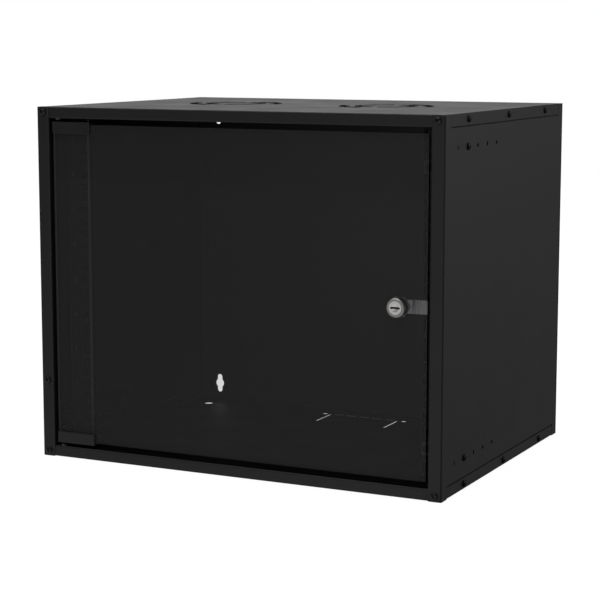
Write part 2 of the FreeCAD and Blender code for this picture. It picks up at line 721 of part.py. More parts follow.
def bush_lift(upper):
    """Height of the bush flange's face that looks at the door."""
    if upper:
        return HEIGHT - ROOF_FLANGE - BUSH_FLANGE_SHEET
    return ROOF_FLANGE + BUSH_FLANGE_SHEET


def pivot_bush(upper):
    """Flanged bush in the pivot lip, its flange towards the door."""
    axis = UP if upper else DOWN
    face = Vector(PIVOT_X, PIVOT_Y, bush_lift(upper))
    bore = PIN_RADIUS + SLIP
    flange = tube(face, axis, BUSH_FLANGE_RADIUS, bore, BUSH_FLANGE_SHEET)
    length = BUSH_FLANGE_SHEET + SHEET + BUSH_TAIL
    return fuse_all([flange, tube(face, axis, BUSH_RADIUS, bore, length)])


def pivot_pin(upper):
    """Pin riveted into a clip, with a collar that faces the bush."""
    axis = UP if upper else DOWN
    _, _, outer, _ = clip_frame(upper)
    root = Vector(PIVOT_X, PIVOT_Y, outer - axis.z * CLIP_FRONT_WALL)
    face = bush_lift(upper)
    tip = abs(face - root.z) + BUSH_FLANGE_SHEET + SHEET + BUSH_TAIL + PIN_PAST_BUSH
    collar_length = abs(face - outer) - SEAT_GAP
    shaft = rod(root, axis, PIN_RADIUS, tip)
    collar = rod(Vector(PIVOT_X, PIVOT_Y, outer), axis, PIN_COLLAR_RADIUS, collar_length)
    return fuse_all([shaft, collar])


# ---------------------------------------------------------------- lock
def lock_axis(y):
    """Point on the lock's axis at a depth."""
    return Vector(LOCK_X, y, LOCK_HEIGHT)


def lock_body_end():
    """Depth at which the lock housing ends behind its nut."""
    return GLASS_BACK + GASKET_SHEET + LOCK_NUT_HEIGHT + LOCK_BODY_PAST_NUT


def lock_housing():
    """Round head with a bevelled edge and a threaded barrel through the glass."""
    face = FRONT - LOCK_PROUD
    seat = GLASS_FRONT - GASKET_SHEET
    head = rod(lock_axis(face), TO_REAR, LOCK_HEAD_RADIUS, seat - face)
    rim = [edge for edge in head.Edges if edge.Closed and edge.CenterOfMass.y < face + 1e-6]
    head = head.makeChamfer(LOCK_EDGE, rim)
    barrel = rod(lock_axis(seat), TO_REAR, LOCK_BODY_RADIUS, lock_body_end() - seat)
    bore = rod(lock_axis(face), TO_REAR, PLUG_RADIUS + SLIP, lock_body_end() - face)
    return fuse_all([head, barrel]).cut(bore)


def lock_gaskets():
    """Thin rings on both faces of the glass."""
    bore = LOCK_BODY_RADIUS + SLIP
    return [tube(lock_axis(GLASS_FRONT), TO_FRONT, GASKET_RADIUS, bore, GASKET_SHEET),
            tube(lock_axis(GLASS_BACK), TO_REAR, GASKET_RADIUS, bore, GASKET_SHEET)]


def lock_nut():
    """Large hexagonal nut behind the glass."""
    return hex_nut(lock_axis(GLASS_BACK + GASKET_SHEET), TO_REAR, LOCK_NUT_FLATS, LOCK_NUT_HEIGHT,
                   LOCK_BODY_RADIUS + SLIP)


def cam_start():
    """Depth of the cam's front face, just clear of the housing."""
    return lock_body_end() + SEAT_GAP


def lock_plug():
    """Turning core with a key slot in front and a square end for the cam."""
    face = FRONT - LOCK_PROUD - PLUG_PROUD
    core = rod(lock_axis(face), TO_REAR, PLUG_RADIUS, cam_start() - face)
    half = PLUG_SQUARE / 2
    square = block(LOCK_X - half, LOCK_X + half, cam_start(), cam_start() + CAM_SHEET,
                   LOCK_HEIGHT - half, LOCK_HEIGHT + half)
    slot = block(LOCK_X - KEY_SLOT_LENGTH / 2, LOCK_X + KEY_SLOT_LENGTH / 2,
                 face - 1, face + KEY_SLOT_DEPTH,
                 LOCK_HEIGHT - KEY_SLOT_WIDTH / 2, LOCK_HEIGHT + KEY_SLOT_WIDTH / 2)
    thread = rod(lock_axis(cam_start() + CAM_SHEET), TO_FRONT, SCREW_RADIUS + SLIP,
                 CAM_SCREW_REACH)
    ball = (DISH_RADIUS ** 2 + DISH_DEPTH ** 2) / (2 * DISH_DEPTH)
    dish = Part.makeSphere(ball, lock_axis(face + DISH_DEPTH - ball))
    return cut_all(fuse_all([core, square]), [slot, dish, thread])


def lock_cam():
    """Cranked cam that reaches towards the lock-side post."""
    y = cam_start() + CAM_SHEET
    low = LOCK_HEIGHT - CAM_HEIGHT / 2
    back = LOCK_X - CAM_HEIGHT / 2
    path = [(back, y), (LOCK_X + CAM_CRANK_START, y),
            (LOCK_X + CAM_CRANK_END, y + CAM_CRANK_STEP), (LOCK_X + CAM_REACH, y + CAM_CRANK_STEP)]
    plate = folded_strip(path, CAM_SHEET, -1, lambda p: Vector(p.x, p.y, low), CAM_SHEET / 2)
    plate = plate.extrude(UP * CAM_HEIGHT)
    depth = CAM_SHEET + CAM_CRANK_STEP + 2
    start = cam_start() - 1
    heel = rod(lock_axis(start), TO_REAR, CAM_HEIGHT / 2, depth)
    arm = block(LOCK_X, LOCK_X + CAM_REACH, start, start + depth, low, low + CAM_HEIGHT)
    tip = [edge for edge in arm.Edges if edge.CenterOfMass.x > LOCK_X + CAM_REACH - 1e-6
           and abs(edge.tangentAt(edge.FirstParameter).y) > 0.9]
    outline = fuse_all([heel, arm.makeFillet(CAM_CORNER, tip)])
    half = PLUG_SQUARE / 2 + SLIP
    hole = block(LOCK_X - half, LOCK_X + half, start, y + 1, LOCK_HEIGHT - half, LOCK_HEIGHT + half)
    return plate.common(outline).cut(hole)


def cam_screw():
    """Screw that holds the cam on the plug."""
    return pan_screw(lock_axis(cam_start() + CAM_SHEET), TO_FRONT, CAM_SCREW_REACH - SEAT_GAP,
                     head_radius=CAM_SCREW_HEAD)


def door_bumper(z):
    """Rubber disc with a stem pressed through its tab."""
    back = FRONT + POST_LIP
    face = GLASS_BACK + SEAT_GAP
    disc = rod(Vector(bumper_x(), face, z), TO_REAR, BUMPER_RADIUS, back - SHEET - face)
    stem = rod(Vector(bumper_x(), back - SHEET, z), TO_REAR, BUMPER_STEM_RADIUS,
               SHEET + BUMPER_BARB_HEIGHT)
    barb = rod(Vector(bumper_x(), back, z), TO_REAR, BUMPER_BARB_RADIUS, BUMPER_BARB_HEIGHT)
    return fuse_all([disc, stem, barb])


# ---------------------------------------------------------------- assembly
def build_carcass():
    """Sheet-metal shell and its fasteners."""
    save("roof_panel", roof_panel())
    save("floor_panel", floor_panel())
    save("left_side_panel", left_side_panel())
    save("right_side_panel", right_side_panel())
    save("rear_panel", rear_panel())
    save("rear_panel_studs", *rear_studs())
    save("rear_panel_nuts", *rear_nuts())
    save("front_corner_screws", *[pan_screw(place, TO_REAR, SCREW_REACH)
                                  for place in front_screw_places()])
    for name, z in (("floor", FRONT_SCREW_INSET_Z), ("roof", HEIGHT - FRONT_SCREW_INSET_Z)):
        save(name + "_flange_screws", *[pan_screw(place, axis, SCREW_REACH)
                                        for place, axis in flange_screw_places(z)])
    save("bonding_screw", pan_screw(bonding_screw_place(), TO_REAR, SCREW_REACH))
    save("bonding_nut", hex_nut(bonding_screw_place() + TO_REAR * SHEET, TO_REAR, SMALL_NUT_FLATS,
                                SMALL_NUT_HEIGHT, SCREW_RADIUS + SLIP))
    for level, z in bumper_heights().items():
        save(level + "_door_bumper", door_bumper(z))


def build_rails():
    """Rack rails, their carriers and fasteners."""
    rail = left_rack_rail()
    save("left_rack_rail", rail)
    save("right_rack_rail", mirrored(rail))
    for level, z in row_heights().items():
        carrier = left_rail_carrier(z)
        save("left_" + level + "_rail_carrier", carrier)
        save("right_" + level + "_rail_carrier", mirrored(carrier))
    save("carrier_clamp_screws", *both_sides(left_clamp_screws()))
    save("carrier_clamp_nuts", *both_sides(left_clamp_nuts()))
    save("rail_screws", *both_sides(left_rail_screws()))
    save("rail_nuts", *both_sides(left_rail_nuts()))


def build_door():
    """Glass, pivot clips, pins, bushes and the lock."""
    save("glass_pane", glass_pane())
    for level, upper in (("upper", True), ("lower", False)):
        save(level + "_hinge_clip", hinge_clip(upper))
        save(level + "_clip_liner", clip_liner(upper))
        save(level + "_clip_grub_screws", *clip_grub_screws(upper))
        save(level + "_pivot_pin", pivot_pin(upper))
        save(level + "_pivot_bush", pivot_bush(upper))
    save("lock_housing", lock_housing())
    save("lock_gaskets", *lock_gaskets())
    save("lock_nut", lock_nut())
    save("lock_plug", lock_plug())
    save("lock_cam", lock_cam())
    save("cam_screw", cam_screw())


build_carcass()
build_rails()
build_door()
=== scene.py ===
"""Looks of the wall mount network cabinet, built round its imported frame.

Lengths are metres in the frame's own axes: +Z up, the door faces -Y, and the origin is the centre
of the carcass's underside. Sizes of patterns and small details are given in millimetres.
"""

import logging
import math
from dataclasses import dataclass, field
from enum import Enum
from typing import Any, Callable, Optional

import bmesh
import bpy
from mathutils import Matrix, Vector


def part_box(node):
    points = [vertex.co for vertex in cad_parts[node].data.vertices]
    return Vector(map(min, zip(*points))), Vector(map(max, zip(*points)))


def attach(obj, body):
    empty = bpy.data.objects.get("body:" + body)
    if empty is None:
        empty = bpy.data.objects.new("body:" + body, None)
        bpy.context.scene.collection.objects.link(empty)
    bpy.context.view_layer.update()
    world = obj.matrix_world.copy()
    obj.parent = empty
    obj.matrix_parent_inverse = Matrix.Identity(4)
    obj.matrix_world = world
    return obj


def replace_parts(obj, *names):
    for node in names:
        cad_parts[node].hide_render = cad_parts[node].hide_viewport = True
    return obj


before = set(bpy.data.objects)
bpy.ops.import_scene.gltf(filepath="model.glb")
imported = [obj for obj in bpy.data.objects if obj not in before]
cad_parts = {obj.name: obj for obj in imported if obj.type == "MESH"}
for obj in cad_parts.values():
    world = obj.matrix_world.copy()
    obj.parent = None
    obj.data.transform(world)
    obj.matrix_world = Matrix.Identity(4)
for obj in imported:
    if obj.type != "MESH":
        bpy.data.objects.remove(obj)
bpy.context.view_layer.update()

logging.basicConfig(level=logging.INFO, format="%(message)s")
LOG = logging.getLogger("cabinet")
MM = 0.001
WELD = 0.01 * MM        # points closer than this are one
UPRIGHT_BELOW = 0.3     # a face whose normal rises less than this stands upright
FLAT_ABOVE = 0.9        # a face whose normal rises more than this lies flat
BEND_FROM = 0.1         # the normal of a bend turns between these two
BEND_TO = 0.98
NOISE_LOW = 0.3         # the noise texture seldom leaves these two
NOISE_HIGH = 0.7
EDGE_SAMPLES = 4        # rays that round an edge in shading


# ---------------------------------------------------------------- helpers
def srgb(hex_colour: str) -> tuple[float, float, float, float]:
    """Turn an sRGB hex colour into linear RGBA.

    Args:
        hex_colour: Colour such as "#1c1c1d".

    Returns:
        Linear red, green, blue and an alpha of one.
    """
    digits = hex_colour.lstrip("#")
    channels = [int(digits[i:i + 2], 16) / 255 for i in (0, 2, 4)]
    linear = [c / 12.92 if c <= 0.04045 else ((c + 0.055) / 1.055) ** 2.4 for c in channels]
    return (linear[0], linear[1], linear[2], 1.0)


def add_node(tree: bpy.types.NodeTree, kind: str, settings: Optional[dict[str, Any]] = None,
             links: Optional[dict[Any, bpy.types.NodeSocket]] = None) -> bpy.types.Node:
    """Add one node with its settings and incoming links.

    Args:
        tree: Node tree that takes the node.
        kind: Node type, such as "ShaderNodeBump".
        settings: Values by property name or input socket name or number.
        links: Output sockets of other nodes by this node's input socket name or number.

    Returns:
        The new node.
    """
    node = tree.nodes.new(kind)
    for key, value in (settings or {}).items():
        if isinstance(key, str) and hasattr(node, key):
            setattr(node, key, value)
        else:
            node.inputs[key].default_value = value
    for key, socket in (links or {}).items():
        tree.links.new(socket, node.inputs[key])
    return node


def per_metre(size_mm: float) -> float:
    """Texture scale that gives a pattern of this size in millimetres."""
    return 1.0 / (size_mm * MM)


def new_tree(name: str) -> tuple[bpy.types.Material, bpy.types.NodeTree]:
    """Make an empty node material.

    Args:
        name: Name of the real material.

    Returns:
        The material and its node tree.
    """
    material = bpy.data.materials.new(name)
    material.use_nodes = True
    material.node_tree.nodes.clear()
    return material, material.node_tree


def add_object(name: str, mesh: bpy.types.ID, material: bpy.types.Material,
               body: str) -> bpy.types.Object:
    """Link a new piece, dress it and let it ride on a body.

    Args:
        name: Name of the piece.
        mesh: Mesh or curve data.
        material: Finish of the piece.
        body: CAD body that carries it.

    Returns:
        The new object.
    """
    piece = bpy.data.objects.new(name, mesh)
    bpy.context.scene.collection.objects.link(piece)
    piece.data.materials.clear()
    piece.data.materials.append(material)
    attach(piece, body)
    LOG.info("piece %s on %s", name, body)
    return piece


def dress(node: str, material: bpy.types.Material) -> None:
    """Give a carried-over node its finish.

    Args:
        node: Name of the node.
        material: Finish for all of its faces.
    """
    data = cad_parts[node].data
    data.materials.clear()
    data.materials.append(material)
    for polygon in data.polygons:
        polygon.material_index = 0
    LOG.info("node %s takes %s", node, material.name)


def dress_some(node: str, material: bpy.types.Material,
               chosen: Callable[[bpy.types.MeshPolygon], bool]) -> None:
    """Give some faces of a carried-over node a second finish.

    Args:
        node: Name of the node.
        material: Finish for the chosen faces.
        chosen: Says of a face whether it takes the finish.
    """
    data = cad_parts[node].data
    data.materials.append(material)
    place = len(data.materials) - 1
    faces = [polygon for polygon in data.polygons if chosen(polygon)]
    for polygon in faces:
        polygon.material_index = place
    LOG.info("node %s takes %s on %d faces", node, material.name, len(faces))


# ---------------------------------------------------------------- finishes
class Grain(Enum):
    """Direction of the fine lines that a tool leaves in metal."""

    UPRIGHT = "up the sheet"
    TURNED = "round the lock's axis"
    NONE = "no lines"


@dataclass(frozen=True)
class PowderCoat:
    """Polyester powder coat, sprayed and baked on sheet steel.

    It melts into a skin with a faint orange peel, so the light spreads wide and soft, and edges
    catch a thin line of light because the bends are round.
    """

    name: str = "polyester_powder_coat"
    colour: str = "#0e0e0f"
    thin_colour: str = "#121213"
    roughness: float = 0.5
    specular: float = 0.38
    peel_mm: float = 0.8
    patch_mm: float = 60.0
    edge_mm: float = 0.6
    peel_depth: float = 0.04
    peel_height_mm: float = 0.2
    gloss_spread: float = 0.04
    patch_share: float = 0.5
    thin_range: tuple[float, float] = (0.55, 0.95)

    def build(self) -> bpy.types.Material:
        """Make the material.

        Returns:
            Matte black coat with fine grain, soft patches and rounded edges.
        """
        material, tree = new_tree(self.name)
        place = add_node(tree, "ShaderNodeTexCoord")
        patches = add_node(tree, "ShaderNodeTexNoise",
                           {"Scale": per_metre(self.patch_mm), "Detail": 3.0},
                           {"Vector": place.outputs["Object"]})
        # The grain is finer on the real sheet; here it is as coarse as it needs to be to show.
        peel = add_node(tree, "ShaderNodeTexNoise",
                        {"Scale": per_metre(self.peel_mm), "Detail": 2.0, "Roughness": 0.6},
                        {"Vector": place.outputs["Object"]})
        blend = add_node(tree, "ShaderNodeMath",
                         {"operation": "MULTIPLY_ADD", 1: self.patch_share},
                         {0: patches.outputs["Fac"], 2: peel.outputs["Fac"]})
        tint = add_node(tree, "ShaderNodeValToRGB", {}, {"Fac": blend.outputs["Value"]})
        for stop, position, colour in zip(tint.color_ramp.elements, self.thin_range,
                                          (self.colour, self.thin_colour)):
            stop.position = position
            stop.color = srgb(colour)
        spread = add_node(tree, "ShaderNodeMapRange",
                          {"From Min": NOISE_LOW, "From Max": NOISE_HIGH,
                           "To Min": self.roughness - self.gloss_spread,
                           "To Max": self.roughness + self.gloss_spread},
                          {"Value": patches.outputs["Fac"]})
        rounded = add_node(tree, "ShaderNodeBevel",
                           {"samples": EDGE_SAMPLES, "Radius": self.edge_mm * MM})
        bump = add_node(tree, "ShaderNodeBump",
                        {"Strength": self.peel_depth, "Distance": self.peel_height_mm * MM},
                        {"Height": peel.outputs["Fac"], "Normal": rounded.outputs["Normal"]})
        shader = add_node(tree, "ShaderNodeBsdfPrincipled",
                          {"Specular IOR Level": self.specular, "IOR": 1.5},
                          {"Base Color": tint.outputs["Color"],
                           "Roughness": spread.outputs["Result"],
                           "Normal": bump.outputs["Normal"]})
        add_node(tree, "ShaderNodeOutputMaterial", {}, {"Surface": shader.outputs["BSDF"]})
        return material


@dataclass(frozen=True)
class FloatGlass:
    """Tempered float glass, polished, with a pale grey veil that is a painted reflection.

    It is flat and clear, so it darkens what lies behind it evenly and adds only a faint gloss.
    """

    name: str = "float_glass_with_painted_veil"
    # Painted reflection: this pale grey, mixed in by the cover, lays an even diffuse veil over the
    # pane in place of the glass's own reflection.
    colour: str = "#4b4b4c"
    cover: float = 0.215
    specular: float = 0.1
    roughness: float = 0.03
    smear_mm: float = 90.0
    polish: tuple[float, float] = (0.7, 1.6)

    def build(self) -> bpy.types.Material:
        """Make the material.

        Returns:
            Clear dark glass that lets light straight through.
        """
        material, tree = new_tree(self.name)
        place = add_node(tree, "ShaderNodeTexCoord")
        smear = add_node(tree, "ShaderNodeTexNoise",
                         {"Scale": per_metre(self.smear_mm), "Detail": 4.0},
                         {"Vector": place.outputs["Object"]})
        gloss = add_node(tree, "ShaderNodeMapRange",
                         {"To Min": self.roughness * self.polish[0],
                          "To Max": self.roughness * self.polish[1]},
                         {"Value": smear.outputs["Fac"]})
        shader = add_node(tree, "ShaderNodeBsdfPrincipled",
                          {"Base Color": srgb(self.colour), "Alpha": self.cover, "IOR": 1.52,
                           "Specular IOR Level": self.specular},
                          {"Roughness": gloss.outputs["Result"]})
        add_node(tree, "ShaderNodeOutputMaterial", {}, {"Surface": shader.outputs["BSDF"]})
        return material


@dataclass(frozen=True)
class Metal:
    """Bare or plated metal with the fine lines of its making.

    Plating follows every line of the tool, which stretches the highlights across the lines. The
    real lines are finer; here they are as coarse as they need to be to show.
    """

    name: str
    colour: str
    roughness: float
    grain: Grain = Grain.NONE
    line_mm: float = 0.4
    length_mm: float = 20.0
    depth: float = 0.12
    shade: float = 0.9  # brightness of the lines beside the metal between them
    centre: tuple[float, float, float] = (0.0, 0.0, 0.0)
    line_height_mm: float = 0.05
    edge_mm: float = 0.3
    polish: tuple[float, float] = (0.8, 1.25)
    shade_range: tuple[float, float] = (0.35, 0.65)

    def place(self, tree: bpy.types.NodeTree) -> bpy.types.NodeSocket:
        """Coordinates stretched so that the noise draws the lines.

        Args:
            tree: Node tree of the material.

        Returns:
            Vector socket for the line pattern.
        """
        place = add_node(tree, "ShaderNodeTexCoord")
        if self.grain is Grain.TURNED:
            moved = add_node(tree, "ShaderNodeVectorMath",
                             {"operation": "SUBTRACT", 1: self.centre},
                             {0: place.outputs["Object"]})
            flat = add_node(tree, "ShaderNodeVectorMath",
                            {"operation": "MULTIPLY", 1: (1.0, 0.0, 1.0)},
                            {0: moved.outputs["Vector"]})
            radius = add_node(tree, "ShaderNodeVectorMath", {"operation": "LENGTH"},
                              {0: flat.outputs["Vector"]})
            scaled = add_node(tree, "ShaderNodeMath",
                              {"operation": "MULTIPLY", 1: per_metre(self.line_mm)},
                              {0: radius.outputs["Value"]})
            joined = add_node(tree, "ShaderNodeCombineXYZ", {}, {"X": scaled.outputs["Value"]})
            return joined.outputs["Vector"]
        lines = (per_metre(self.line_mm), per_metre(self.line_mm), per_metre(self.length_mm))
        if self.grain is Grain.NONE:
            lines = (per_metre(self.line_mm),) * 3
        scaled = add_node(tree, "ShaderNodeVectorMath", {"operation": "MULTIPLY", 1: lines},
                          {0: place.outputs["Object"]})
        return scaled.outputs["Vector"]

    def build(self) -> bpy.types.Material:
        """Make the material.

        Returns:
            Metal with its tool lines and slightly uneven gloss.
        """
        material, tree = new_tree(self.name)
        lines = add_node(tree, "ShaderNodeTexNoise", {"Scale": 1.0, "Detail": 2.0},
                         {"Vector": self.place(tree)})
        gloss = add_node(tree, "ShaderNodeMapRange",
                         {"From Min": NOISE_LOW, "From Max": NOISE_HIGH,
                          "To Min": self.roughness * self.polish[0],
                          "To Max": self.roughness * self.polish[1]},
                         {"Value": lines.outputs["Fac"]})
        rounded = add_node(tree, "ShaderNodeBevel",
                           {"samples": EDGE_SAMPLES, "Radius": self.edge_mm * MM})
        bump = add_node(tree, "ShaderNodeBump",
                        {"Strength": self.depth, "Distance": self.line_height_mm * MM},
                        {"Height": lines.outputs["Fac"], "Normal": rounded.outputs["Normal"]})
        tint = add_node(tree, "ShaderNodeValToRGB", {}, {"Fac": lines.outputs["Fac"]})
        light = srgb(self.colour)
        dark = (*(part * self.shade for part in light[:3]), 1.0)
        for stop, position, colour in zip(tint.color_ramp.elements, self.shade_range,
                                          (dark, light)):
            stop.position = position
            stop.color = colour
        shader = add_node(tree, "ShaderNodeBsdfPrincipled", {"Metallic": 1.0},
                          {"Base Color": tint.outputs["Color"],
                           "Roughness": gloss.outputs["Result"], "Normal": bump.outputs["Normal"]})
        add_node(tree, "ShaderNodeOutputMaterial", {}, {"Surface": shader.outputs["BSDF"]})
        return material


@dataclass(frozen=True)
class Moulded:
    """Moulded rubber, nylon or printed ink: even colour with a fine mould texture.

    The texture breaks the gloss into small points, so the piece looks dull and soft. It is drawn
    as coarse as it needs to be to show.
    """

    name: str
    colour: str
    roughness: float
    grain_mm: float = 0.6
    depth: float = 0.1
    ior: float = 1.5
    grain_height_mm: float = 0.1
    polish: tuple[float, float] = (0.85, 1.1)

    def build(self) -> bpy.types.Material:
        """Make the material.

        Returns:
            Non-metal with a fine texture.
        """
        material, tree = new_tree(self.name)
        place = add_node(tree, "ShaderNodeTexCoord")
        grain = add_node(tree, "ShaderNodeTexNoise",
                         {"Scale": per_metre(self.grain_mm), "Detail": 3.0},
                         {"Vector": place.outputs["Object"]})
        gloss = add_node(tree, "ShaderNodeMapRange",
                         {"To Min": self.roughness * self.polish[0],
                          "To Max": self.roughness * self.polish[1]},
                         {"Value": grain.outputs["Fac"]})
        bump = add_node(tree, "ShaderNodeBump",
                        {"Strength": self.depth, "Distance": self.grain_height_mm * MM},
                        {"Height": grain.outputs["Fac"]})
        shader = add_node(tree, "ShaderNodeBsdfPrincipled",
                          {"Base Color": srgb(self.colour), "IOR": self.ior},
                          {"Roughness": gloss.outputs["Result"], "Normal": bump.outputs["Normal"]})
        add_node(tree, "ShaderNodeOutputMaterial", {}, {"Surface": shader.outputs["BSDF"]})
        return material


# ---------------------------------------------------------------- screws
@dataclass(frozen=True)
class CrossScrew:
    """Pan head screw with a domed head and a cross recess, set where a CAD node has its screws."""

    head_radius: float = 4.2 * MM
    head_height: float = 2.8 * MM
    head_side: float = 0.9 * MM
    shank_radius: float = 1.95 * MM
    shank_length: float = 6.0 * MM
    recess_reach: float = 2.3 * MM
    recess_width: float = 1.1 * MM
    recess_depth: float = 1.7 * MM
    recess_taper: float = 0.55
    recess_slack: float = 1.001  # one arm a hair wider, so that no two faces share a plane
    turn: float = 20.0
    facets: int = 40
    dome_steps: int = 8
    soft_below: float = 35.0

    def cutter(self) -> bpy.types.Object:
        """Make the tapered cross that cuts the recess.

        Returns:
            Temporary object, pointing into the head.
        """
        form = bmesh.new()
        for angle in (0.0, 90.0):
            made = bmesh.ops.create_cube(form, size=1.0)["verts"]
            for vertex in made:
                taper = 1.0 if vertex.co.z > 0 else self.recess_taper
                vertex.co.x *= 2 * self.recess_reach * taper
                vertex.co.y *= self.recess_width * (1.0 if angle else self.recess_slack) * taper
                vertex.co.z *= 2 * self.recess_depth
            bmesh.ops.rotate(form, verts=made, cent=(0, 0, 0),
                             matrix=Matrix.Rotation(math.radians(angle + self.turn), 3, "Z"))
            bmesh.ops.translate(form, verts=made, vec=(0, 0, self.head_height))
        mesh = bpy.data.meshes.new("recess_cutter")
        form.to_mesh(mesh)
        form.free()
        return bpy.data.objects.new("recess_cutter", mesh)

    def blank(self) -> bpy.types.Object:
        """Turn the screw from its profile, head up and seat at zero.

        Returns:
            Temporary object without a recess.
        """
        outline = [(0.0, -self.shank_length), (self.shank_radius, -self.shank_length),
                   (self.shank_radius, 0.0), (self.head_radius, 0.0)]
        dome = self.head_height - self.head_side
        for step in range(self.dome_steps + 1):
            angle = math.radians(90 / self.dome_steps * step)
            outline.append((self.head_radius * math.cos(angle),
                            self.head_side + dome * math.sin(angle)))
        outline[-1] = (0.0, self.head_height)
        form = bmesh.new()
        points = [form.verts.new((radius, 0.0, height)) for radius, height in outline]
        edges = [form.edges.new(pair) for pair in zip(points, points[1:])]
        bmesh.ops.spin(form, geom=points + edges, cent=(0, 0, 0), axis=(0, 0, 1),
                       angle=2 * math.pi, steps=self.facets, use_merge=True)
        bmesh.ops.remove_doubles(form, verts=form.verts, dist=WELD)
        bmesh.ops.recalc_face_normals(form, faces=form.faces)
        mesh = bpy.data.meshes.new("screw_blank")
        form.to_mesh(mesh)
        form.free()
        return bpy.data.objects.new("screw_blank", mesh)

    def form(self) -> bpy.types.Mesh:
        """Cut the recess into the blank.

        Returns:
            Mesh of one screw, head towards +Z.
        """
        pair = (self.blank(), self.cutter())
        for item in pair:
            bpy.context.scene.collection.objects.link(item)
        cut = pair[0].modifiers.new("recess", "BOOLEAN")
        cut.operation = "DIFFERENCE"
        cut.object = pair[1]
        cut.solver = "EXACT"
        cut.use_self = True
        shown = pair[0].evaluated_get(bpy.context.evaluated_depsgraph_get())
        mesh = bpy.data.meshes.new_from_object(shown)
        for item in pair:
            data = item.data
            bpy.data.objects.remove(item)
            bpy.data.meshes.remove(data)
        return mesh

    def set_in(self, node: str, axis: Vector, material: bpy.types.Material, body: str) -> None:
        """Put a screw at every loose part of a node and hide the plain ones.

        Args:
            node: CAD node that holds the screws.
            axis: Direction from head to tip, for a screw on the left or in the middle.
            material: Finish of the screws.
            body: CAD body that carries them.
        """
        single = self.form()
        joined = bmesh.new()
        for low, high in loose_boxes(node):
            middle = (low + high) / 2
            inward = axis.copy()
            if axis.x > 0 and middle.x > 0:
                inward.negate()
            reach = abs((high - low).dot(axis)) / 2
            seat = middle - inward * (reach - self.head_height)
            turn = inward.to_track_quat("-Z", "Y").to_matrix().to_4x4()
            copy = single.copy()
            copy.transform(Matrix.Translation(seat) @ turn)
            joined.from_mesh(copy)
            bpy.data.meshes.remove(copy)
        sharp = math.radians(self.soft_below)
        for edge in joined.edges:
            edge.smooth = len(edge.link_faces) == 2 and edge.calc_face_angle() < sharp
        for face in joined.faces:
            face.smooth = True
        mesh = bpy.data.meshes.new(node + "_crosshead")
        joined.to_mesh(mesh)
        joined.free()
        bpy.data.meshes.remove(single)
        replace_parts(add_object(mesh.name, mesh, material, body), node)


def loose_boxes(node: str) -> list[tuple[Vector, Vector]]:
    """Boxes round the loose parts of a CAD node.

    Args:
        node: Name of the node.

    Returns:
        Lowest and highest corner of each part.
    """
    form = bmesh.new()
    form.from_mesh(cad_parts[node].data)
    bmesh.ops.remove_doubles(form, verts=form.verts, dist=WELD)
    left = set(form.verts)
    boxes = []
    while left:
        queue = [left.pop()]
        part = []
        while queue:
            vertex = queue.pop()
            part.append(vertex.co.copy())
            for edge in vertex.link_edges:
                other = edge.other_vert(vertex)
                if other in left:
                    left.remove(other)
                    queue.append(other)
        boxes.append(tuple(Vector([pick(point[i] for point in part) for i in range(3)])
                           for pick in (min, max)))
    form.free()
    return boxes


